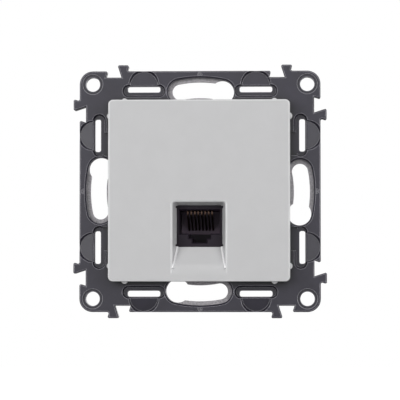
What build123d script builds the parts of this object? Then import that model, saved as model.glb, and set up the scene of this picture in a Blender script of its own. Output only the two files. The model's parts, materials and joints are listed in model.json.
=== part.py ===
from build123d import *
from math import radians, tan
import os

# Flush-mounted RJ45 wall outlet without its surround. X is to the right, Z is up, and the front faces -Y.
# The wall is the plane y = 0, and the origin is the middle of the frame on the wall. All sizes are in mm.

# How far a cutter runs past a face, and how far a joined solid runs into its neighbour
past = 1.0
overlap = 0.2

# Frame side, which is also the pitch of outlets set side by side, and its thicknesses
frame_side = 71.0
frame_corner_r = 3.9
frame_edge = 0.3
plate_t = 1.0
moulding_t = 2.4
rim_w = 1.2
plate_gap = 0.1

# Round holes in the corners, with a shallow ring round each
corner_hole_d = 4.2
corner_hole_inset = 3.9
corner_ring_d = 5.9
corner_ring_depth = 0.35

# Dovetail tabs and notches that lock neighbouring frames together
tab_w = 3.5
tab_reach = 1.8
tab_flank = 18.0
tab_round = 0.45
left_tab_inset = 12.9
right_tab_inset = 9.95
notch_w = 4.6
notch_depth = 1.85
notch_wall = 0.9

# Arc-shaped keyhole slots for screws on the 60 mm circle of a wall box
fixing_circle_d = 60.0
keyhole_w = 4.7
keyhole_end_d = 6.9
keyhole_from = -11.2
keyhole_to = 12.6
keyhole_border = 1.2
keyhole_lip = 0.5

# Slots for the clips of the surround, each in a bevelled pocket with a scoop for a screwdriver
clip_slot_l = 9.6
clip_slot_w = 1.7
clip_slot_corner_r = 0.6
clip_slot_x = 16.5
clip_slot_inset = 5.4
pocket_l = 12.8
pocket_w = 3.9
pocket_depth = 0.9
pocket_bevel = 0.5
pocket_shift = 0.45
scoop_d = 8.9
scoop_bevel = 0.8
scoop_depth = 1.0
scoop_shallow = 0.5
plate_slot_margin = 1.0
step_inset = 8.95
step_w = 2.0
step_low = 10.5
step_high = 17.4

# Alignment triangles in the middle of each side
mark_w = 1.5
mark_line = 0.2
mark_depth = 0.15
mark_inset = 0.75

# Opening for the mechanism, collar that locates the cover, and stakes that hold the plate
opening_side = 41.0
opening_corner_r = 6.0
plate_opening_margin = 1.0
collar_w = 1.2
collar_h = 2.0
collar_gap = 0.25
stake_d = 2.0
stake_gap = 0.05
stake_from_opening = 3.8

# Cover
cover_side = 53.1
cover_corner_r = 1.4
cover_edge_r = 0.45
cover_front = 10.2
cover_face_t = 1.8
cover_wall = 1.5
cover_seat_gap = 0.3
nub_x = 22.0
nub_d = 2.0
nub_reach = 0.65
nub_h = 2.4

# Recess of the cover: window, drafted walls and finger ramp
recess_w = 15.6
recess_top = -3.27
recess_depth = 4.5
recess_corner_r = 0.8
recess_edge = 0.35
window_w = 13.4
window_top = -4.2
window_bottom = -16.45
window_relief_d = 0.7
window_relief_inset = 0.5
window_relief_depth = 1.3
ramp_foot = -22.9
ramp_blend_r = 6.0
well_wall = 1.2
well_tail = 0.4
bead_d = 0.7
bead_inset = 0.15
bead_end_d = 0.8
bead_end_proud = 0.15

# Clip legs of the cover, which catch behind the moulding
leg_t = 1.2
leg_w = 6.0
leg_z = 8.5
leg_gap = 0.4
hook_reach = 0.7
hook_gap = 0.3
hook_l = 1.2

# Holder of the jack
flange_t = 1.5
flange_overlap = 1.8
flange_corner_r = 3.0
holder_gap = 0.4
holder_wall = 1.6
holder_depth = 7.0
holder_leg_gap = 0.5
sleeve_wall = 1.5
sleeve_depth = 2.6
rib_t = 1.2
rib_x = 6.0
lug_w = 7.0
lug_x = 10.5
lug_reach = 0.5
lug_l = 1.9

# Jack
jack_w = 16.4
jack_h = 14.8
jack_z = -10.2
jack_gap = 0.1
jack_window_gap = 0.3
jack_back = 10.3
jack_edge_r = 0.4
port_w = 11.8
port_h = 6.9
port_top = -5.6
port_depth = 12.4
port_lead_in = 0.35
key_w = 6.4
key_h = 1.4
key_inner_w = 4.2
key_inner_h = 1.3
shoulder_l = 1.5
shoulder_reach = 0.9
catch_w = 6.0
catch_reach = 0.7
catch_l = 2.4
catch_gap = 0.4
peg_d = 1.6
peg_gap = 0.05

# Contact springs and the insert that guides them
contact_count = 8
contact_pitch = 1.02
contact_w = 0.45
contact_t = 0.3
contact_bend_r = 0.7
contact_run_z = -5.3
contact_nose_y = -2.4
contact_nose_h = 1.6
contact_end_z = -11.1
contact_side_gap = 0.06
sled_gap = 0.05
sled_plate_t = 1.75
sled_front_wall = 2.0
sled_comb_t = 2.9

# Circuit board
board_margin = 0.1
board_top = -2.0
board_bottom = -19.0
board_t = 1.6
board_hole_gap = 0.15

# Terminal block, with two rows of insulation-displacement blades
block_w = 16.4
block_h = 13.6
block_l = 5.6
base_t = 1.5
base_top = -2.0
blade_w = 2.2
blade_t = 0.5
blade_tip_drop = 0.5
blade_slit_w = 0.35
blade_slit_l = 2.6
blade_mouth_w = 1.1
blade_tail_w = 0.6
blade_tail_l = 1.5
blade_pitch = 3.6
blade_gap = 0.1
row_offset = 4.2
channel_w = 1.4
channel_depth = 3.5
channel_back = 1.0

# Wiring cap, which presses the wires onto the blades
cap_wall = 0.8
cap_side_gap = 0.25
cap_back_t = 1.6
cap_inner_gap = 0.5
cap_front_gap = 0.4
post_w = 1.1
post_h = 1.2
post_l = 2.8
post_from_blade = 0.35
outlet_d = 10.0
outlet_bore_d = 7.4
outlet_l = 2.4

# Quarter-turn lever behind the cap, and the ears that carry it
lever_t = 2.0
lever_gap = 0.3
lever_arm_w = 2.8
lever_outlet_gap = 0.8
lever_bar_h = 2.1
lever_barrel_d = 3.0
lever_pin_d = 2.0
lever_pin_gap = 0.05
lever_drop = 2.3
lever_bar_from_pivot = 16.1
thumb_w = 9.0
thumb_h = 2.4
thumb_reach = 1.8
ear_t = 1.8
ear_gap = 0.4
ear_barrel_gap = 0.3
ear_round_r = 2.2

# Places worked out from the sizes, with y growing towards the wall box
frame_half = frame_side / 2
plate_front_y = -plate_t
frame_front_y = -(plate_t + moulding_t)
fixing_r = fixing_circle_d / 2
hole_xy = frame_half - corner_hole_inset
clip_slot_z = frame_half - clip_slot_inset
opening_half = opening_side / 2
plate_opening_side = opening_side + 2 * plate_opening_margin
border_w = keyhole_end_d + 2 * (keyhole_border - (keyhole_end_d - keyhole_w) / 2)
cover_half = cover_side / 2
cover_front_y = -cover_front
skirt_back_y = frame_front_y - cover_seat_gap
face_back_y = cover_front_y + cover_face_t
collar_side = cover_side - 2 * (cover_wall + collar_gap)
recess_back_y = cover_front_y + recess_depth
well_back_y = recess_back_y + well_tail
leg_outer_x = opening_half - leg_gap
flange_front_y = frame_front_y - flange_t
holder_w = 2 * (leg_outer_x - leg_t - holder_leg_gap)
holder_h = opening_side - 2 * holder_gap
jack_front_y = well_back_y + jack_window_gap
board_front_y = jack_back
board_w = jack_w + 2 * (shoulder_reach + board_margin)
board_back_y = board_front_y + board_t
port_back_y = jack_front_y + port_depth
block_back_y = board_back_y + block_l
cap_inner_y = block_back_y + cap_inner_gap
cap_back_y = cap_inner_y + cap_back_t
cap_front_y = board_back_y + base_t + cap_front_gap
cap_w = block_w + 2 * (cap_side_gap + cap_wall)
cap_h = block_h + 2 * (cap_side_gap + cap_wall)
outlet_back_y = cap_back_y + outlet_l
lever_front_y = cap_back_y + lever_gap
pivot_y = lever_front_y + lever_t / 2
pivot_z = jack_z - cap_h / 2 - lever_drop
lever_bar_z = pivot_z + lever_bar_from_pivot
lever_inner_x = outlet_d / 2 + lever_outlet_gap
lever_outer_x = lever_inner_x + lever_arm_w
ear_inner_x = cap_w / 2 + ear_gap
base_w = 2 * (ear_inner_x + ear_t)
blade_x = [blade_pitch * (place - 1.5) for place in range(4)]
blade_places = [(x, jack_z + row * row_offset, row) for row in (1, -1) for x in blade_x]
contact_x = [contact_pitch * (place - (contact_count - 1) / 2) for place in range(contact_count)]
peg_places = [(sign * (jack_w / 2 - peg_d), jack_z - jack_h / 2 + peg_d) for sign in (-1, 1)]


def slab(outline, front_y, back_y):
    """Solid of an outline drawn as seen from the front, between two depths."""
    return extrude(Plane.XZ.offset(-back_y) * outline, back_y - front_y, dir=(0, -1, 0))


def tapered_slab(outline, back_y, front_y, slope):
    """Solid whose outline, drawn at its back, widens towards the front by a slope in degrees."""
    return extrude(Plane.XZ.offset(-back_y) * outline, back_y - front_y, taper=-slope)


def side_prism(points, x_low, x_high):
    """Solid of an outline of (y, z) points, between two places across the object."""
    return extrude(Plane.YZ.offset(x_low) * Polygon(*points, align=None), x_high - x_low, dir=(1, 0, 0))


def plan_prism(points, z_low, z_high):
    """Solid of an outline of (x, y) points, between two heights."""
    return extrude(Plane.XY.offset(z_low) * Polygon(*points, align=None), z_high - z_low, dir=(0, 0, 1))


def box(x_low, x_high, y_low, y_high, z_low, z_high):
    """Box between its two corners."""
    size = (x_high - x_low, y_high - y_low, z_high - z_low)
    return Pos(x_low, y_low, z_low) * Box(*size, align=(Align.MIN, Align.MIN, Align.MIN))


def round_bar(diameter, x_low, x_high, y, z):
    """Round bar along the width of the object."""
    return extrude(Plane.YZ.offset(x_low) * Pos(y, z) * Circle(diameter / 2), x_high - x_low)


def four_sides(outline):
    """The outline on the top side and its copies on the other three."""
    return [Rot(0, 0, 90 * turn) * outline for turn in range(4)]


def turned(solid):
    """The solid on the top side and its copies on the other three."""
    return [Rot(0, 90 * turn, 0) * solid for turn in range(4)]


# Support frame
def dovetail_pairs():
    """Notch floor from left to right, and middle of the tab, for both pairs of the top side."""
    slope = tan(radians(tab_flank))
    pairs = []
    for tab_x in (left_tab_inset - frame_half, frame_half - right_tab_inset):
        floor_right = tab_x - tab_w / 2 + (tab_reach + notch_depth) * slope
        pairs.append((floor_right - notch_w, floor_right, tab_x))
    return pairs


def frame_outline():
    """Square with rounded corners, dovetail tabs and notches."""
    slope = tan(radians(tab_flank))
    notches = []
    tabs = []
    for floor_left, floor_right, tab_x in dovetail_pairs():
        floor_z = frame_half - notch_depth
        mouth_left = floor_left + notch_depth * slope
        notches.append(Polygon((floor_left, floor_z), (tab_x, floor_z), (tab_x, frame_half + past),
                               (mouth_left, frame_half + past), (mouth_left, frame_half), align=None))
        root_right = tab_x + tab_w / 2 - tab_reach * slope
        top_z = frame_half + tab_reach
        tabs.append(Polygon((floor_right, floor_z), (root_right, floor_z), (root_right, frame_half),
                            (tab_x + tab_w / 2, top_z), (tab_x - tab_w / 2, top_z), align=None))
    outline = RectangleRounded(frame_side, frame_side, frame_corner_r)
    outline -= [cut for notch in notches for cut in four_sides(notch)]
    outline += [lug for tab in tabs for lug in four_sides(tab)]
    corners = []
    for vertex in outline.vertices():
        along, across = sorted((abs(vertex.X), abs(vertex.Y)))
        on_edge = abs(across - frame_half) < 0.01 and along < frame_half - frame_corner_r - 0.01
        if on_edge or abs(across - frame_half - tab_reach) < 0.01:
            corners.append(vertex)
    return fillet(corners, tab_round)


def plate_outline(grow):
    """Square with a relief behind each pair of tab and notch."""
    plate_side = frame_side - 2 * rim_w + 2 * grow
    outline = RectangleRounded(plate_side, plate_side, frame_corner_r - rim_w + grow)
    for floor_left, floor_right, tab_x in dovetail_pairs():
        left = floor_left - notch_wall + grow
        right = tab_x + tab_w / 2 - grow
        low = frame_half - notch_depth - notch_wall + grow
        high = frame_half + past
        relief = Pos((left + right) / 2, (low + high) / 2) * Rectangle(right - left, high - low)
        outline -= four_sides(relief)
    return outline


def arc_slot(width):
    """Slot along the fixing circle, in the middle of the top side."""
    return SlotArc(CenterArc((0, 0), fixing_r, 90 - keyhole_to, keyhole_to - keyhole_from), width)


def keyhole():
    """Arc slot with a round end that a screw head passes."""
    end = Rot(0, 0, -keyhole_to) * Pos(0, fixing_r) * Circle(keyhole_end_d / 2)
    return arc_slot(keyhole_w) + end


def clip_places():
    """Middles of the two clip slots of the top side."""
    return [(-clip_slot_x, clip_slot_z), (clip_slot_x, clip_slot_z)]


def scoop():
    """Half-moon scoop beyond a clip slot, with its floor falling towards the edge of the frame."""
    base_z = pocket_w / 2 - pocket_shift
    floor_y = frame_front_y + scoop_depth
    shallow_y = frame_front_y + scoop_shallow
    bowl_r = scoop_d / 2 - scoop_bevel
    bowl = Plane.XZ.offset(-floor_y) * Pos(0, base_z) * Circle(bowl_r)
    mouth = Plane.XZ.offset(-frame_front_y) * Pos(0, base_z) * Circle(scoop_d / 2)
    edge_z = base_z + scoop_d
    points = [(frame_front_y - past, clip_slot_w / 2), (shallow_y, clip_slot_w / 2), (shallow_y, base_z),
              (floor_y, base_z + bowl_r), (floor_y, edge_z), (frame_front_y - past, edge_z)]
    return loft([bowl, mouth]) & side_prism(points, -scoop_d, scoop_d)


def clip_step():
    """Shallow step between a clip slot and the cover, on the right and in the upper half."""
    x_low = frame_half - step_inset
    return box(x_low, x_low + step_w, frame_front_y - past, frame_front_y + pocket_depth,
               step_low, step_high)


def clip_cutter():
    """Everything cut from the front for one surround clip."""
    slot_outline = RectangleRounded(clip_slot_l, clip_slot_w, clip_slot_corner_r)
    slot = slab(slot_outline, frame_front_y - past, past)
    floor_outline = SlotOverall(pocket_l - 2 * pocket_bevel, pocket_w - 2 * pocket_bevel)
    mouth_outline = SlotOverall(pocket_l, pocket_w)
    floor_y = frame_front_y + pocket_depth
    pocket = loft([Plane.XZ.offset(-floor_y) * Pos(0, -pocket_shift) * floor_outline,
                   Plane.XZ.offset(-frame_front_y) * Pos(0, -pocket_shift) * mouth_outline])
    return slot + pocket + scoop()


def frame_moulding():
    """Plastic support frame, with the steel plate let into its back."""
    moulding = slab(frame_outline(), frame_front_y, 0)
    moulding = chamfer(moulding.faces().sort_by(Axis.Y)[0].edges(), frame_edge)
    collar_outer = RectangleRounded(collar_side, collar_side, opening_corner_r)
    moulding += slab(collar_outer, frame_front_y - collar_h, frame_front_y)
    collar_hole = collar_side - 2 * collar_w
    collar_inner = RectangleRounded(collar_hole, collar_hole, opening_corner_r - collar_w)
    moulding -= slab(collar_inner, frame_front_y - collar_h - past, frame_front_y)
    moulding -= slab(plate_outline(plate_gap), plate_front_y, past)
    opening = RectangleRounded(opening_side, opening_side, opening_corner_r)
    moulding -= slab(opening, frame_front_y - past, past)
    border = slab(arc_slot(border_w), frame_front_y - past, past)
    lip = tapered_slab(arc_slot(border_w), frame_front_y + keyhole_lip, frame_front_y, 45)
    mark_z = frame_half - mark_inset
    triangle = Pos(0, mark_z) * Triangle(a=mark_w, b=mark_w, c=mark_w)
    mark = triangle - offset(triangle, amount=-mark_line)
    corner_hole = Pos(hole_xy, hole_xy) * Circle(corner_hole_d / 2)
    corner_ring = Pos(hole_xy, hole_xy) * Circle(corner_ring_d / 2)
    cutters = [
        border,
        lip,
        slab(mark, frame_front_y, frame_front_y + mark_depth),
        slab(corner_hole, frame_front_y - past, past),
        slab(corner_ring, frame_front_y, frame_front_y + corner_ring_depth),
    ]
    cutters += [Pos(x, 0, z) * clip_cutter() for x, z in clip_places()]
    for cutter in cutters:
        moulding -= turned(cutter)
    for step in (clip_step(), Pos(0, 0, -step_low - step_high) * clip_step()):
        moulding -= step
        moulding -= mirror(step, Plane.YZ)
    stake = slab(Circle(stake_d / 2), plate_front_y, 0)
    for x, z in stake_places():
        moulding += turned(Pos(x, 0, z) * stake)
    return moulding


def stake_places():
    """Stakes of the top side, between the opening and the clip slots."""
    stake_z = opening_half + stake_from_opening
    return [(-clip_slot_x, stake_z), (clip_slot_x, stake_z)]


def steel_plate():
    """Zinc-plated plate with keyhole slots, let into the back of the moulding."""
    outline = plate_outline(0)
    plate_corner_r = opening_corner_r + plate_opening_margin
    outline -= RectangleRounded(plate_opening_side, plate_opening_side, plate_corner_r)
    outline -= four_sides(keyhole())
    outline -= four_sides(Pos(hole_xy, hole_xy) * Circle(corner_hole_d / 2))
    slot_l = clip_slot_l + 2 * plate_slot_margin
    slot_w = clip_slot_w + 2 * plate_slot_margin
    for x, z in clip_places():
        outline -= four_sides(Pos(x, z) * RectangleRounded(slot_l, slot_w, clip_slot_corner_r))
    for x, z in stake_places():
        outline -= four_sides(Pos(x, z) * Circle(stake_d / 2 + stake_gap))
    return slab(outline, plate_front_y, 0)


# Cover
def recess_outline(depth, grow, corner_r):
    """Mouth of the recess at a depth below the face, with its top corners rounded."""
    draft_x = (recess_w - window_w) / 2 / recess_depth
    draft_z = (recess_top - window_top) / recess_depth
    half_w = recess_w / 2 - draft_x * depth + grow
    top = recess_top - draft_z * depth + grow
    low = ramp_foot - 2 * ramp_blend_r
    outline = Pos(0, (top + low) / 2) * Rectangle(2 * half_w, top - low)
    outline = fillet(outline.vertices().sort_by(Axis.Y)[-2:], corner_r)
    return Plane.XZ.offset(cover_front - depth) * outline


def ramp_prism(grow, back_y):
    """Space in front of the ramp, moved outwards by grow, back to a depth."""
    rise = (window_bottom - ramp_foot) / recess_depth
    shift = grow * (1 + rise ** 2) ** 0.5
    back_z = window_bottom - shift + (back_y - recess_back_y) * rise
    foot_z = ramp_foot - shift
    far_z = foot_z - 2 * ramp_blend_r
    above_z = recess_top + well_wall + past
    open_y = cover_front_y - past
    profile = Polygon((back_y, above_z), (back_y, back_z), (cover_front_y, foot_z),
                      (cover_front_y, far_z), (open_y, far_z), (open_y, above_z), align=None)
    foot = profile.vertices().sort_by_distance((cover_front_y, foot_z))[0]
    profile = fillet(foot, ramp_blend_r)
    return extrude(Plane.YZ * profile, recess_w, both=True)


def recess():
    """Everything cut from the face: drafted walls, ramp and a bevelled rim."""
    walls = loft([recess_outline(recess_depth, 0, recess_corner_r),
                  recess_outline(-past, 0, recess_corner_r)])
    rim = loft([recess_outline(recess_edge, 0, recess_corner_r),
                recess_outline(0, recess_edge, recess_corner_r + recess_edge)])
    return (walls + rim) & ramp_prism(0, recess_back_y)


def well_block():
    """Solid round the recess, from which its walls are left standing behind the face."""
    corner_r = recess_corner_r + well_wall
    block = loft([recess_outline(recess_depth + well_tail, well_wall, corner_r),
                  recess_outline(0, well_wall, corner_r)])
    inside = box(-cover_half, cover_half, face_back_y - overlap, well_back_y, -cover_half, 0)
    return block & ramp_prism(well_wall, well_back_y) & inside


def window():
    """Window at the back of the recess, with a round relief at both ends of each side."""
    middle_z = (window_top + window_bottom) / 2
    outline = Pos(0, middle_z) * Rectangle(window_w, window_top - window_bottom)
    cutter = slab(outline, recess_back_y - overlap, well_back_y + past)
    for x in (-window_w / 2, window_w / 2):
        for z in (window_top - window_relief_inset, window_bottom + window_relief_inset):
            relief = Pos(x, z) * Circle(window_relief_d / 2)
            cutter += slab(relief, recess_back_y - window_relief_depth, well_back_y + past)
    return cutter


def ramp_bead(side):
    """Rounded bead beside the ramp, from the window to a ball that stands proud of the face."""
    start = Vector(side * (window_w / 2 - bead_inset), recess_back_y, window_bottom)
    foot = Vector(side * (recess_w / 2 - bead_inset), cover_front_y, ramp_foot)
    ball_share = 1 - (bead_end_d / 2 - bead_end_proud) / recess_depth
    run = (foot - start) * ball_share
    bar = extrude(Plane(origin=start, z_dir=run) * Circle(bead_d / 2), run.length)
    return bar + Pos(*(start + run)) * Sphere(bead_end_d / 2)


def clip_leg():
    """Leg on the right of the cover, with a hook that catches behind the moulding."""
    inner_x = leg_outer_x - leg_t
    hook_x = opening_half + hook_reach
    catch_y = plate_front_y + hook_gap
    root_y = face_back_y - overlap
    points = [(inner_x, root_y), (leg_outer_x, root_y), (leg_outer_x, catch_y), (hook_x, catch_y),
              (leg_outer_x, catch_y + hook_l), (inner_x, catch_y + hook_l)]
    return plan_prism(points, -leg_w / 2, leg_w / 2)


def cover():
    """Square cover with a recessed window, a finger ramp, side nubs and four clip legs."""
    shell = slab(RectangleRounded(cover_side, cover_side, cover_corner_r), cover_front_y, skirt_back_y)
    shell = fillet(shell.faces().sort_by(Axis.Y)[0].edges(), cover_edge_r)
    inner_side = cover_side - 2 * cover_wall
    shell -= slab(Rectangle(inner_side, inner_side), face_back_y, skirt_back_y + past)
    nub = slab(Circle(nub_d / 2), skirt_back_y - nub_h, skirt_back_y)
    nub_z = cover_half + nub_reach - nub_d / 2
    for x in (-nub_x, nub_x):
        shell += turned(Pos(x, 0, nub_z) * nub)
    shell += well_block()
    shell -= recess()
    shell -= window()
    for side in (-1, 1):
        shell += ramp_bead(side)
    for z in (-leg_z, leg_z):
        leg = Pos(0, 0, z) * clip_leg()
        shell += leg
        shell += mirror(leg, Plane.YZ)
    return shell


# Holder of the jack
def jack_outline(grow):
    """Cross-section of the jack, grown on every side."""
    return Pos(0, jack_z) * Rectangle(jack_w + 2 * grow, jack_h + 2 * grow)


def catch_box(grow, z_reach):
    """Space of the two catches above and below the jack."""
    front_y = jack_front_y + sled_front_wall + jack_gap
    return box(-catch_w / 2 - grow, catch_w / 2 + grow, front_y - grow, front_y + catch_l + grow,
               jack_z - jack_h / 2 - z_reach, jack_z + jack_h / 2 + z_reach)


def jack_holder():
    """Black carrier with a flange on the frame, a tube through its opening and a sleeve for the jack."""
    flange_h = opening_side + 2 * flange_overlap
    holder = slab(RectangleRounded(holder_w + 2 * (holder_leg_gap - jack_gap), flange_h, flange_corner_r),
                  flange_front_y, frame_front_y)
    tube_r = opening_corner_r - holder_gap
    tube = slab(RectangleRounded(holder_w, holder_h, tube_r), frame_front_y, holder_depth)
    hollow = RectangleRounded(holder_w - 2 * holder_wall, holder_h - 2 * holder_wall,
                              tube_r - holder_wall)
    tube -= slab(hollow, frame_front_y, holder_depth + past)
    ribs = slab(jack_outline(jack_gap + sleeve_wall), frame_front_y, sleeve_depth)
    side_rib = Pos(0, jack_z) * Rectangle(holder_w, rib_t)
    top_z = holder_h / 2
    ribs += slab(side_rib, frame_front_y, sleeve_depth)
    for x in (-rib_x, rib_x):
        upper_rib = Pos(x, (top_z + jack_z) / 2) * Rectangle(rib_t, top_z - jack_z)
        ribs += slab(upper_rib, frame_front_y, sleeve_depth)
    ribs &= slab(RectangleRounded(holder_w, holder_h, tube_r), frame_front_y, sleeve_depth)
    holder += tube + ribs
    holder -= slab(jack_outline(jack_gap), flange_front_y - past, holder_depth)
    holder -= slab(jack_outline(shoulder_reach + jack_gap), sleeve_depth, holder_depth + past)
    holder -= catch_box(catch_gap, catch_reach + catch_gap)
    lug_front_y = plate_front_y + hook_gap
    lug_z = opening_half + lug_reach
    root_z = top_z - holder_wall / 2
    lug_back_y = lug_front_y + lug_l
    lug_points = [(lug_front_y, root_z), (lug_front_y, lug_z), (lug_back_y, top_z), (lug_back_y, root_z)]
    lug = side_prism(lug_points, -lug_w / 2, lug_w / 2)
    for x in (-lug_x, lug_x):
        holder += Pos(x, 0, 0) * lug
        holder += mirror(Pos(x, 0, 0) * lug, Plane.XY)
    return holder


# Jack
def jack_housing():
    """Housing of the jack, with a stepped port for the plug and its latch."""
    body = slab(jack_outline(0), jack_front_y, jack_back)
    body = fillet(body.edges().filter_by(Axis.Y), jack_edge_r)
    shoulder_y = sleeve_depth + hook_gap
    body += slab(jack_outline(shoulder_reach), shoulder_y, shoulder_y + shoulder_l)
    catch_front_y = catch_box(0, catch_reach).bounding_box().min.Y
    catch_back_y = catch_front_y + catch_l
    catch_z = jack_z + jack_h / 2
    wedge_points = [(catch_front_y, catch_z - overlap), (catch_front_y, catch_z),
                    (catch_back_y, catch_z + catch_reach), (catch_back_y, catch_z - overlap)]
    wedge = side_prism(wedge_points, -catch_w / 2, catch_w / 2)
    body += wedge
    body += mirror(wedge, Plane.XY.offset(jack_z))
    port_bottom = port_top - port_h
    body -= box(-port_w / 2, port_w / 2, jack_front_y - past, jack_back + past, port_bottom, port_top)
    body -= box(-key_w / 2, key_w / 2, jack_front_y - past, port_back_y, port_bottom - key_h, port_top)
    body -= box(-key_inner_w / 2, key_inner_w / 2, jack_front_y - past, port_back_y,
                port_bottom - key_h - key_inner_h, port_top)
    mouth = body.faces().sort_by(Axis.Y)[0].inner_wires()[0].edges()
    body = chamfer(mouth, port_lead_in)
    body -= box(-port_w / 2, port_w / 2, jack_front_y + sled_front_wall, jack_back + past,
                port_top - overlap, port_top + sled_plate_t + sled_gap)
    for x, z in peg_places:
        body += slab(Pos(x, z) * Circle(peg_d / 2), jack_back, board_back_y - peg_gap)
    return body


def contact_sled():
    """Insert above and behind the port, with a groove and a comb slot for each contact."""
    half_w = port_w / 2 - sled_gap
    front_y = jack_front_y + sled_front_wall + sled_gap
    plate = box(-half_w, half_w, front_y, jack_back, port_top, port_top + sled_plate_t)
    comb_front = jack_back - sled_comb_t
    sled = plate + box(-half_w, half_w, comb_front, jack_back, port_top - port_h + sled_gap, port_top)
    groove_w = contact_w + 2 * contact_side_gap
    groove_top = contact_run_z + contact_t / 2 + contact_side_gap
    for x in contact_x:
        left = x - groove_w / 2
        right = x + groove_w / 2
        sled -= box(left, right, front_y - past, jack_back + past, port_top - overlap, groove_top)
        sled -= box(left, right, comb_front - past, comb_front + sled_comb_t / 2,
                    contact_end_z - contact_t, contact_run_z - contact_nose_h - contact_t)
    return sled


def contact(x):
    """Spring contact with a run above the port, a nose at the front and a slanting leg."""
    comb_front = jack_back - sled_comb_t
    nose_z = contact_run_z - contact_nose_h
    path = FilletPolyline(
        (x, board_front_y + board_t / 2, contact_run_z),
        (x, contact_nose_y, contact_run_z),
        (x, contact_nose_y, nose_z),
        (x, comb_front + sled_comb_t / 4, contact_end_z),
        radius=contact_bend_r,
    )
    section = Plane(origin=path @ 0, x_dir=(1, 0, 0), z_dir=path % 0) * Rectangle(contact_w, contact_t)
    return sweep(section, path=path)


# Circuit board
def circuit_board():
    """Board between the jack and the terminal block, with a hole for each tail and peg."""
    middle_z = (board_top + board_bottom) / 2
    outline = Pos(0, middle_z) * RectangleRounded(board_w, board_top - board_bottom, peg_d / 2)
    for x in contact_x:
        outline -= Pos(x, contact_run_z) * Circle(contact_w / 2 + board_hole_gap)
    for x, z, row in blade_places:
        outline -= Pos(x, z) * Circle(blade_tail_w / 2 + board_hole_gap)
    for x, z in peg_places:
        outline -= Pos(x, z) * Circle(peg_d / 2 + peg_gap)
    return slab(outline, board_front_y, board_back_y)


# Terminal block and blades
def terminal_block():
    """Block that holds the blades, with a wire channel at each and two ears for the lever."""
    block = slab(Pos(0, jack_z) * Rectangle(block_w, block_h), board_back_y, block_back_y)
    base_low = pivot_z - ear_round_r
    base = RectangleRounded(base_w, base_top - base_low, ear_round_r / 2)
    block += slab(Pos(0, (base_top + base_low) / 2) * base, board_back_y, board_back_y + base_t)
    ear_outline = Pos(pivot_y, pivot_z) * Circle(ear_round_r)
    ear_reach = pivot_y - board_back_y
    ear_outline += Pos(pivot_y - ear_reach / 2, pivot_z) * Rectangle(ear_reach, 2 * ear_round_r)
    ear_outline -= Pos(pivot_y, pivot_z) * Circle(lever_pin_d / 2 + lever_pin_gap)
    for x in (ear_inner_x, -ear_inner_x - ear_t):
        block += extrude(Plane.YZ.offset(x) * ear_outline, ear_t)
    for x, z, row in blade_places:
        slot_w = blade_w + 2 * blade_gap
        slot_t = blade_t + 2 * blade_gap
        block -= slab(Pos(x, z) * Rectangle(slot_w, slot_t), board_back_y - past, block_back_y + past)
        low_z, high_z = sorted((z - row * channel_back, jack_z + row * (block_h / 2 + past)))
        block -= box(x - channel_w / 2, x + channel_w / 2,
                     block_back_y - channel_depth, block_back_y + past, low_z, high_z)
    return block


def blade(x, z):
    """Forked insulation-displacement blade with a tail for the board."""
    tip_y = block_back_y - blade_tip_drop
    root_y = board_back_y + blade_gap
    half_w = blade_w / 2
    slit = blade_slit_w / 2
    mouth = blade_mouth_w / 2
    tail = blade_tail_w / 2
    right = [(tail, root_y - blade_tail_l), (tail, root_y), (half_w, root_y), (half_w, tip_y),
             (mouth, tip_y), (slit, tip_y - mouth), (slit, tip_y - blade_slit_l)]
    left = [(-px, py) for px, py in reversed(right)]
    return Pos(x, 0, z) * plan_prism(right + left, -blade_t / 2, blade_t / 2)


# Wiring cap
def wiring_cap():
    """Cap with a post for each wire and a round outlet for the cable."""
    cap = slab(Pos(0, jack_z) * RectangleRounded(cap_w, cap_h, cap_wall), cap_front_y, cap_back_y)
    inner_w = cap_w - 2 * cap_wall
    inner_h = cap_h - 2 * cap_wall
    cap -= slab(Pos(0, jack_z) * Rectangle(inner_w, inner_h), cap_front_y - past, cap_inner_y)
    cap += slab(Pos(0, jack_z) * Circle(outlet_d / 2), cap_back_y, outlet_back_y)
    cap -= slab(Pos(0, jack_z) * Circle(outlet_bore_d / 2), cap_inner_y - past, outlet_back_y + past)
    for x, z, row in blade_places:
        post_z = z + row * (blade_t / 2 + post_from_blade)
        low_z, high_z = sorted((post_z, post_z + row * post_h))
        cap += box(x - post_w / 2, x + post_w / 2, cap_inner_y - post_l, cap_inner_y, low_z, high_z)
        low_z, high_z = sorted((jack_z + row * (cap_h / 2 + past), jack_z + row * (inner_h / 2 - overlap)))
        cap -= box(x - channel_w / 2, x + channel_w / 2, cap_front_y - past, block_back_y, low_z, high_z)
    return cap


# Lever
def cap_lever():
    """Lever that swings down behind the cap: a barrel with two pins, two arms, a bar and a thumb rest."""
    barrel_half = ear_inner_x - ear_barrel_gap
    pin_half = ear_inner_x + ear_t - ear_barrel_gap
    lever_back_y = lever_front_y + lever_t
    bar_top = lever_bar_z + lever_bar_h
    lever = round_bar(lever_barrel_d, -barrel_half, barrel_half, pivot_y, pivot_z)
    lever += round_bar(lever_pin_d, -pin_half, pin_half, pivot_y, pivot_z)
    frame = box(-lever_outer_x, lever_outer_x, lever_front_y, lever_back_y, pivot_z, bar_top)
    frame -= box(-lever_inner_x, lever_inner_x, lever_front_y - past, lever_back_y + past,
                 pivot_z - past, lever_bar_z)
    lever += frame
    thumb = [(lever_front_y + lever_t / 4, bar_top - overlap), (lever_back_y, bar_top - overlap),
             (lever_back_y + thumb_reach, bar_top + thumb_h), (lever_back_y, bar_top + thumb_h)]
    lever += side_prism(thumb, -thumb_w / 2, thumb_w / 2)
    return lever


def save(shape, node):
    """Write one piece under its name."""
    shape.label = node
    export_step(shape, f"parts/{node}.step")


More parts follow.
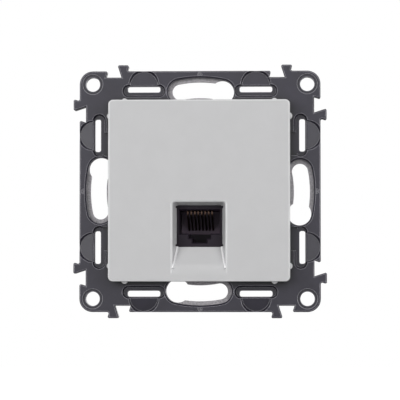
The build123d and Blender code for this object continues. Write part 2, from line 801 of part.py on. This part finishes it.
def main():
    os.makedirs("parts", exist_ok=True)
    save(frame_moulding(), "frame_moulding")
    save(steel_plate(), "steel_plate")
    save(cover(), "cover")
    save(jack_holder(), "jack_holder")
    save(jack_housing(), "jack_housing")
    save(contact_sled(), "contact_sled")
    for number, x in enumerate(contact_x, 1):
        save(contact(x), f"contact_{number}")
    save(circuit_board(), "circuit_board")
    save(terminal_block(), "terminal_block")
    for number, (x, z, row) in enumerate(blade_places, 1):
        save(blade(x, z), f"idc_blade_{number}")
    save(wiring_cap(), "wiring_cap")
    save(cap_lever(), "cap_lever")


main()
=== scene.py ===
import json
import math

import bpy
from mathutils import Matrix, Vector


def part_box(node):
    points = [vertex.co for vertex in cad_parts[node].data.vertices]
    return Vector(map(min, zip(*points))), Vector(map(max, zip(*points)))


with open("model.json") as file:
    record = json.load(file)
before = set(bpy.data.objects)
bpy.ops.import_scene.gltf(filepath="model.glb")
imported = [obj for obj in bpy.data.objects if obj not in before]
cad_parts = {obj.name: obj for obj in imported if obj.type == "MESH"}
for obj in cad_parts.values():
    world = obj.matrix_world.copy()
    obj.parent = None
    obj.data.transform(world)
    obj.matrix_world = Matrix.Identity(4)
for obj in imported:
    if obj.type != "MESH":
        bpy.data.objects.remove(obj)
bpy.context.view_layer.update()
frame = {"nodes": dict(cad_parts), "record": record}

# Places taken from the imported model, in metres
MM = 0.001
mould_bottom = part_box("frame_moulding")[0][2]
cover_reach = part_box("cover")[1][0]

# Camera: the photograph shows 3.4 pixels a millimetre, from a little to the right and below
PIXELS = 400
PIXELS_PER_MM = 3.401
CAMERA_AZIMUTH = 2.4
CAMERA_ELEVATION = -2.3
CAMERA_DISTANCE = 0.7
SENSOR_MM = 36.0
NEAR_CLIP = 0.01
OBJECT_PIXEL = (199.83, 191.25)
FRONT_Y = -0.0034

# Patterns of the finishes, in features a metre
GRAIN = 2600.0
TONE_CLOUDS = 180.0
GLOSS_CLOUDS = 900.0
CRYSTALS = 2600.0
SPECKS = 5200.0
DRAWN_LINES = 900.0
TRACKS = 210.0

# Depths of the patterns that stand out of the metals and the board, in metres
CRYSTAL_DEPTH = 0.000008
SPECK_DEPTH = 0.000012
LINE_DEPTH = 0.000004
TRACK_DEPTH = 0.00002

# How far roughness strays over a plastic, each way, and over a drawn metal, down and up
PLASTIC_STRAY = 0.04
METAL_STRAY = (-0.06, 0.08)

# Painted highlights on edges: how well the true and the rounded normal agree where the painted highlight
# starts, and where it is full
EDGE_START = 0.998
EDGE_FULL = 0.96
STEEL_EDGE = 0.0001

# Shade beside walls and in corners: its reach in metres, and how open it is where it starts and is full
CREVICE = 0.0025
CREVICE_START = 0.95
CREVICE_FULL = 0.45

# Samples for the nodes that look around a point for edges and crevices
NEAR_SAMPLES = 8

# Where the cover gets its painted highlights: on the beads, its rounded front edges and its nubs
# Bead on the right of the ramp: its axis, how far its surface lies from that at most, and how squarely
# its facets face away from it at least
BEAD_ENDS = ((0.00655, -0.0057, -0.01645), (0.00765, -0.0102, -0.0229))
BEAD_REACH = 0.00045
BEAD_FACING = 0.85

# Cover: its front face, how deep its rounded edges go, how squarely they face the front at least and at
# most, and how far its side nubs stand out
COVER_FRONT = -0.0102
EDGE_DEPTH = 0.00046
EDGE_FACING = (0.2, 0.985)
NUB_REACH = 0.00064

# Studio: lengths in metres, grey of the floor, and strengths of its glow, the room and the background
LAMP_DISTANCE = 0.85
TALL_LAMP = (0.34, 0.6)
WIDE_LAMP = (0.6, 0.22)
FLOOR_DROP = 0.06
FLOOR_SIZE = 3.0
FLOOR_GREY = 0.4
FLOOR_GLOW = 0.95
ROOM_LIGHT = 0.15
BACKGROUND = 1.0
WHITE = (1, 1, 1, 1)

# Soft boxes on both sides, in front and above, weak ones at the edges, and a set for the back.
# Each has its name, azimuth, elevation, size, and its share of full light on a wall across the view.
LAMPS = [
    ("left", -38, 6, TALL_LAMP, 0.36),
    ("right", 38, 6, TALL_LAMP, 0.31),
    ("front_left", -20, 4, TALL_LAMP, 0.08),
    ("front_right", 20, 4, TALL_LAMP, 0.08),
    ("top", 0, 48, WIDE_LAMP, 0.08),
    ("left_edge", -76, 0, TALL_LAMP, 0.015),
    ("right_edge", 76, 0, TALL_LAMP, 0.015),
    ("back_left", -142, 6, TALL_LAMP, 0.37),
    ("back_right", 142, 6, TALL_LAMP, 0.37),
    ("back_top", 180, 48, WIDE_LAMP, 0.11),
]


# Materials
def linear(value):
    """Linear light for an 8-bit display value."""
    share = value / 255
    return share / 12.92 if share <= 0.04045 else ((share + 0.055) / 1.055) ** 2.4


def rgb(red, green, blue):
    return (linear(red), linear(green), linear(blue), 1.0)


class Shader:
    """A node tree with short calls for the nodes that the finishes need."""

    def __init__(self, name):
        self.material = bpy.data.materials.new(name)
        self.material.use_nodes = True
        self.tree = self.material.node_tree
        self.tree.nodes.clear()
        self.output = self.node("ShaderNodeOutputMaterial")
        self.surface = self.node("ShaderNodeBsdfPrincipled")
        self.link(self.surface.outputs["BSDF"], self.output.inputs["Surface"])
        self.place = self.node("ShaderNodeTexCoord").outputs["Object"]

    def node(self, kind, **settings):
        made = self.tree.nodes.new(kind)
        for key, value in settings.items():
            setattr(made, key, value)
        return made

    def link(self, output, socket):
        self.tree.links.new(output, socket)

    def set(self, **values):
        """Constants of the surface, by the names of its sockets."""
        for key, value in values.items():
            self.surface.inputs[key.replace("_", " ")].default_value = value

    def noise(self, scale, detail=3.0, roughness=0.5, stretch=None):
        """Noise over the object, in features a metre."""
        made = self.node("ShaderNodeTexNoise")
        made.inputs["Scale"].default_value = scale
        made.inputs["Detail"].default_value = detail
        made.inputs["Roughness"].default_value = roughness
        place = self.place
        if stretch:
            mapping = self.node("ShaderNodeMapping")
            mapping.inputs["Scale"].default_value = stretch
            self.link(place, mapping.inputs["Vector"])
            place = mapping.outputs["Vector"]
        self.link(place, made.inputs["Vector"])
        return made.outputs["Fac"]

    def cells(self, scale):
        """Cells over the object, in features a metre."""
        made = self.node("ShaderNodeTexVoronoi")
        made.inputs["Scale"].default_value = scale
        self.link(self.place, made.inputs["Vector"])
        return made

    def ramp(self, source, stops):
        """Colours between shares of a source."""
        made = self.node("ShaderNodeValToRGB")
        elements = made.color_ramp.elements
        for element, (place, colour) in zip(elements, stops):
            element.position = place
            element.color = colour
        self.link(source, made.inputs["Fac"])
        return made.outputs["Color"]

    def span(self, source, low, high):
        """A number from low to high as the source goes from 0 to 1."""
        made = self.node("ShaderNodeMapRange")
        made.inputs["To Min"].default_value = low
        made.inputs["To Max"].default_value = high
        self.link(source, made.inputs["Value"])
        return made.outputs["Result"]

    def share(self, source, start, full):
        """A number from 0 to 1 as the source goes from start to full."""
        made = self.node("ShaderNodeMapRange")
        made.inputs["From Min"].default_value = start
        made.inputs["From Max"].default_value = full
        self.link(source, made.inputs["Value"])
        return made.outputs["Result"]

    def rounded(self, radius):
        """Normal of the surface as if its edges were rounded by a radius in metres."""
        made = self.node("ShaderNodeBevel", samples=NEAR_SAMPLES)
        made.inputs["Radius"].default_value = radius
        return made.outputs["Normal"]

    def edges(self, normal):
        """1 along the edges that a rounded normal smooths, and 0 on flat stretches."""
        flat = self.node("ShaderNodeNewGeometry").outputs["True Normal"]
        dot = self.node("ShaderNodeVectorMath", operation="DOT_PRODUCT")
        self.link(flat, dot.inputs[0])
        self.link(normal, dot.inputs[1])
        return self.share(dot.outputs["Value"], EDGE_START, EDGE_FULL)

    def crevices(self):
        """1 in corners and beside tall walls, and 0 on open stretches."""
        made = self.node("ShaderNodeAmbientOcclusion", samples=NEAR_SAMPLES)
        made.inputs["Distance"].default_value = CREVICE
        return self.share(made.outputs["AO"], CREVICE_START, CREVICE_FULL)

    def blend(self, share, low, high):
        """Mix of a colour source and a plain colour, by a share."""
        made = self.node("ShaderNodeMix", data_type="RGBA")
        self.link(share, made.inputs["Factor"])
        self.link(low, made.inputs["A"])
        made.inputs["B"].default_value = high
        return made.outputs["Result"]

    def bump(self, layers, normal=None):
        """Bumps of (height source, depth in metres), over a rounded normal if there is one."""
        for source, depth in layers:
            made = self.node("ShaderNodeBump")
            made.inputs["Strength"].default_value = 1.0
            made.inputs["Distance"].default_value = depth
            self.link(source, made.inputs["Height"])
            if normal:
                self.link(normal, made.inputs["Normal"])
            normal = made.outputs["Normal"]
        self.link(normal, self.surface.inputs["Normal"])


def moulded_plastic(name, light, dark, roughness, grain, edge, painted_edge_highlight, gloss=0.5, deep=None):
    """Moulded plastic: two close tones, a fine spark-eroded grain, painted highlights along the edges, and
    painted shade in crevices.
    """
    s = Shader(name)
    s.set(Specular_IOR_Level=gloss)
    normal = s.rounded(edge)
    tone = s.ramp(s.noise(TONE_CLOUDS, detail=4.0, roughness=0.6), [(0.35, dark), (0.65, light)])
    # Painted highlight: the tone turns lighter along the rounded edges
    tone = s.blend(s.edges(normal), tone, painted_edge_highlight)
    if deep:
        tone = s.blend(s.crevices(), tone, deep)
    s.link(tone, s.surface.inputs["Base Color"])
    clouds = s.noise(GLOSS_CLOUDS, detail=2.0)
    dullness = s.span(clouds, roughness - PLASTIC_STRAY, roughness + PLASTIC_STRAY)
    s.link(dullness, s.surface.inputs["Roughness"])
    s.bump([(s.noise(GRAIN, roughness=0.6), grain)], normal)
    return s.material


def zinc_steel():
    """Zinc-plated sheet steel, with a fine grain of crystals."""
    s = Shader("zinc_steel")
    s.set(Metallic=1.0)
    crystals = s.cells(CRYSTALS)
    specks = s.noise(SPECKS, detail=4.0, roughness=0.7)
    mix = s.node("ShaderNodeMix", data_type="RGBA", blend_type="MULTIPLY")
    mix.inputs["Factor"].default_value = 0.8
    crystal_stops = [(0.2, rgb(146, 145, 148)), (0.8, rgb(174, 172, 175))]
    speck_stops = [(0.35, rgb(196, 195, 196)), (0.65, rgb(242, 240, 241))]
    s.link(s.ramp(crystals.outputs["Color"], crystal_stops), mix.inputs["A"])
    s.link(s.ramp(specks, speck_stops), mix.inputs["B"])
    s.link(mix.outputs["Result"], s.surface.inputs["Base Color"])
    s.link(s.span(specks, 0.38, 0.6), s.surface.inputs["Roughness"])
    s.bump([(specks, SPECK_DEPTH), (crystals.outputs["Distance"], CRYSTAL_DEPTH)], s.rounded(STEEL_EDGE))
    return s.material


def metal(name, light, dark, roughness):
    """Plated strip metal, with drawing lines along its length."""
    s = Shader(name)
    s.set(Metallic=1.0)
    lines = s.noise(DRAWN_LINES, roughness=0.6, stretch=(9.0, 1.0, 1.0))
    s.link(s.ramp(lines, [(0.3, dark), (0.7, light)]), s.surface.inputs["Base Color"])
    smoother, rougher = METAL_STRAY
    s.link(s.span(lines, roughness + smoother, roughness + rougher), s.surface.inputs["Roughness"])
    s.bump([(lines, LINE_DEPTH)])
    return s.material


def circuit_board_green():
    """Green solder resist over copper tracks."""
    s = Shader("board_green")
    tracks = s.node("ShaderNodeTexWave", wave_type="BANDS", bands_direction="DIAGONAL")
    tracks.inputs["Scale"].default_value = TRACKS
    tracks.inputs["Distortion"].default_value = 2.0
    s.link(s.place, tracks.inputs["Vector"])
    tone = s.ramp(tracks.outputs["Fac"], [(0.62, rgb(18, 78, 44)), (0.72, rgb(34, 108, 58))])
    s.link(tone, s.surface.inputs["Base Color"])
    s.set(Roughness=0.28)
    s.bump([(tracks.outputs["Fac"], TRACK_DEPTH)])
    return s.material


def plastics():
    """Looks of the plastics: tones, painted highlight tones for the edges, and the depth of the grain and
    the radius of the edges in metres.
    """
    return {
        "frame_plastic": dict(
            light=rgb(46, 44, 55), dark=rgb(40, 38, 48), roughness=0.36, grain=0.000012,
            edge=0.0002, painted_edge_highlight=rgb(168, 166, 174), deep=rgb(15, 14, 18)),
        "cover_plastic": dict(
            light=rgb(200, 200, 201), dark=rgb(198, 198, 199), roughness=0.34, grain=0.000003,
            edge=0.0003, painted_edge_highlight=rgb(236, 236, 237), deep=rgb(172, 171, 174)),
        # Painted highlight for the cover's rounded front edges and side nubs
        "edge_highlight_plastic": dict(
            light=rgb(226, 226, 227), dark=rgb(223, 223, 224), roughness=0.26, grain=0.000002,
            edge=0.0001, painted_edge_highlight=rgb(234, 234, 235)),
        # Painted highlight for the beads beside the ramp
        "bead_highlight_plastic": dict(
            light=rgb(246, 246, 247), dark=rgb(242, 242, 243), roughness=0.2, grain=0.000002,
            edge=0.0001, painted_edge_highlight=rgb(250, 250, 251)),
        "holder_plastic": dict(
            light=rgb(45, 44, 48), dark=rgb(38, 37, 41), roughness=0.5, grain=0.00001,
            edge=0.00012, painted_edge_highlight=rgb(60, 59, 63)),
        "jack_plastic": dict(
            light=rgb(32, 25, 35), dark=rgb(28, 22, 31), roughness=0.5, grain=0.000006,
            edge=0.0001, painted_edge_highlight=rgb(40, 33, 43), gloss=0.2),
        # Lighter than the jack: painted light for the shaded back of the port
        "sled_painted_light": dict(
            light=rgb(88, 70, 89), dark=rgb(81, 64, 82), roughness=0.5, grain=0.000006,
            edge=0.0001, painted_edge_highlight=rgb(96, 79, 97)),
        "terminal_plastic": dict(
            light=rgb(52, 52, 56), dark=rgb(45, 45, 49), roughness=0.48, grain=0.00001,
            edge=0.0001, painted_edge_highlight=rgb(66, 66, 70)),
        "cap_plastic": dict(
            light=rgb(206, 208, 210), dark=rgb(200, 202, 204), roughness=0.4, grain=0.000006,
            edge=0.0001, painted_edge_highlight=rgb(216, 218, 220)),
        "lever_plastic": dict(
            light=rgb(143, 146, 150), dark=rgb(136, 139, 143), roughness=0.44, grain=0.000008,
            edge=0.0001, painted_edge_highlight=rgb(158, 161, 165)),
    }


def finishes():
    """One material for each slot of the record, and for the cover's painted edge and bead highlights and
    the sled's painted light.
    """
    made = {name: moulded_plastic(name, **looks) for name, looks in plastics().items()}
    made["zinc_steel"] = zinc_steel()
    # The contacts' gold is dimmed and greyed: painted shade for the dark inside of the port
    made["contact_gold"] = metal("contact_gold", rgb(98, 78, 68), rgb(76, 61, 54), 0.4)
    made["blade_tin"] = metal("blade_tin", rgb(206, 206, 202), rgb(168, 168, 165), 0.34)
    made["board_green"] = circuit_board_green()
    return made


# Dressing
def dress(materials):
    """Gives each carried-over node the finish of its slot, and the sled a lighter one of its own, painted
    light in the shaded back of the port.
    """
    slots = {part["node"]: part["material_slot"] for part in frame["record"]["subparts"]}
    # The sled's lighter tone is painted light in the shaded port
    slots["contact_sled"] = "sled_painted_light"
    for node, piece in frame["nodes"].items():
        piece.data.materials.clear()
        piece.data.materials.append(materials[slots[node]])
    # Painted highlights on the cover's edges, nubs and beads
    paint_highlights(materials["edge_highlight_plastic"], materials["bead_highlight_plastic"])


def on_bead(facet):
    """Whether a facet of the cover lies on one of the two beads beside the ramp."""
    side = math.copysign(1, facet.center.x)
    start, foot = (Vector((side * x, y, z)) for x, y, z in BEAD_ENDS)
    run = foot - start
    share = min(max((facet.center - start).dot(run) / run.length_squared, 0), 1)
    outward = facet.center - start - run * share
    return outward.length < BEAD_REACH and outward.normalized().dot(facet.normal) > BEAD_FACING


def on_front_edge(facet):
    """Whether a facet of the cover lies on its rounded outline or on the rim of its recess."""
    x, y, z = facet.center
    ramp_half, _, ramp_top = BEAD_ENDS[0]
    on_ramp = abs(x) < ramp_half and z < ramp_top
    least, most = EDGE_FACING
    return y < COVER_FRONT + EDGE_DEPTH and least < -facet.normal.y < most and not on_ramp


def on_nub(facet):
    """Whether a facet of the cover lies on one of the nubs that stand out of its sides."""
    return max(abs(facet.center.x), abs(facet.center.z)) > cover_reach - NUB_REACH


def paint_highlights(edge, bead):
    """Gives the rounded front edges, side nubs and beads of the cover lighter materials, which are painted
    highlights.
    """
    mesh = frame["nodes"]["cover"].data
    mesh.materials.append(edge)
    mesh.materials.append(bead)
    edge_slot, bead_slot = 1, 2
    for facet in mesh.polygons:
        if on_bead(facet):
            facet.material_index = bead_slot
        elif on_front_edge(facet) or on_nub(facet):
            facet.material_index = edge_slot


# Camera
def direction(azimuth, elevation):
    """From the object towards a viewer at an azimuth and elevation in degrees."""
    turn = math.radians(azimuth)
    rise = math.radians(elevation)
    return Vector((math.sin(turn) * math.cos(rise), -math.cos(turn) * math.cos(rise), math.sin(rise)))


def facing(towards):
    """Rotation of a camera or lamp that looks back along a direction."""
    return (-towards).to_track_quat("-Z", "Y").to_euler()


def make_camera():
    lens = bpy.data.cameras.new("view")
    camera = bpy.data.objects.new("view", lens)
    bpy.context.collection.objects.link(camera)
    lens.sensor_width = SENSOR_MM
    width = PIXELS / PIXELS_PER_MM * MM
    lens.lens = CAMERA_DISTANCE * SENSOR_MM / width
    lens.clip_start = NEAR_CLIP
    towards = direction(CAMERA_AZIMUTH, CAMERA_ELEVATION)
    aim = Vector((0, FRONT_Y, 0))
    aim.x -= (OBJECT_PIXEL[0] - PIXELS / 2) / PIXELS_PER_MM * MM
    aim.z += (OBJECT_PIXEL[1] - PIXELS / 2) / PIXELS_PER_MM * MM
    camera.location = aim + towards * CAMERA_DISTANCE
    camera.rotation_euler = facing(towards)
    bpy.context.scene.camera = camera


# Studio
def area_light(name, azimuth, elevation, size, share):
    """Soft box that gives a wall across the view a share of its full light."""
    towards = direction(azimuth, elevation)
    light = bpy.data.lights.new(name, "AREA")
    light.shape = "RECTANGLE"
    light.size, light.size_y = size
    light.energy = share * (math.pi * LAMP_DISTANCE) ** 2 / abs(towards.y)
    lamp = bpy.data.objects.new(name, light)
    bpy.context.collection.objects.link(lamp)
    lamp.location = towards * LAMP_DISTANCE
    lamp.rotation_euler = facing(towards)


def make_world():
    """Dim white room, with a background that is white to the camera and in reflections."""
    world = bpy.data.worlds.new("studio")
    bpy.context.scene.world = world
    world.use_nodes = True
    tree = world.node_tree
    tree.nodes.clear()
    output = tree.nodes.new("ShaderNodeOutputWorld")
    mix = tree.nodes.new("ShaderNodeMixShader")
    for socket, strength in enumerate((ROOM_LIGHT, BACKGROUND), start=1):
        white = tree.nodes.new("ShaderNodeBackground")
        white.inputs["Color"].default_value = WHITE
        white.inputs["Strength"].default_value = strength
        tree.links.new(white.outputs["Background"], mix.inputs[socket])
    path = tree.nodes.new("ShaderNodeLightPath")
    factor = path.outputs["Is Camera Ray"]
    for ray in ("Is Glossy Ray", "Is Transmission Ray"):
        either = tree.nodes.new("ShaderNodeMath")
        either.operation = "MAXIMUM"
        tree.links.new(factor, either.inputs[0])
        tree.links.new(path.outputs[ray], either.inputs[1])
        factor = either.outputs["Value"]
    tree.links.new(factor, mix.inputs["Fac"])
    tree.links.new(mix.outputs["Shader"], output.inputs["Surface"])


def floor_white():
    """Pale grey that glows white to the camera, so that only the shadow on it shows."""
    material = bpy.data.materials.new("floor_white")
    material.use_nodes = True
    tree = material.node_tree
    tree.nodes.clear()
    output = tree.nodes.new("ShaderNodeOutputMaterial")
    add = tree.nodes.new("ShaderNodeAddShader")
    diffuse = tree.nodes.new("ShaderNodeBsdfDiffuse")
    diffuse.inputs["Color"].default_value = (FLOOR_GREY, FLOOR_GREY, FLOOR_GREY, 1)
    glow = tree.nodes.new("ShaderNodeEmission")
    glow.inputs["Color"].default_value = WHITE
    path = tree.nodes.new("ShaderNodeLightPath")
    scale = tree.nodes.new("ShaderNodeMath")
    scale.operation = "MULTIPLY"
    scale.inputs[1].default_value = FLOOR_GLOW
    tree.links.new(path.outputs["Is Camera Ray"], scale.inputs[0])
    tree.links.new(scale.outputs["Value"], glow.inputs["Strength"])
    tree.links.new(diffuse.outputs["BSDF"], add.inputs[0])
    tree.links.new(glow.outputs["Emission"], add.inputs[1])
    tree.links.new(add.outputs["Shader"], output.inputs["Surface"])
    return material


def make_floor():
    level = mould_bottom - FLOOR_DROP
    half = FLOOR_SIZE / 2
    corners = [(-half, -half, level), (half, -half, level), (half, half, level), (-half, half, level)]
    mesh = bpy.data.meshes.new("floor")
    mesh.from_pydata(corners, [], [(0, 1, 2, 3)])
    mesh.materials.append(floor_white())
    floor = bpy.data.objects.new("floor", mesh)
    bpy.context.collection.objects.link(floor)


make_camera()
for lamp in LAMPS:
    area_light(*lamp)
make_world()
make_floor()
dress(finishes())
bpy.context.scene.view_settings.view_transform = "Standard"
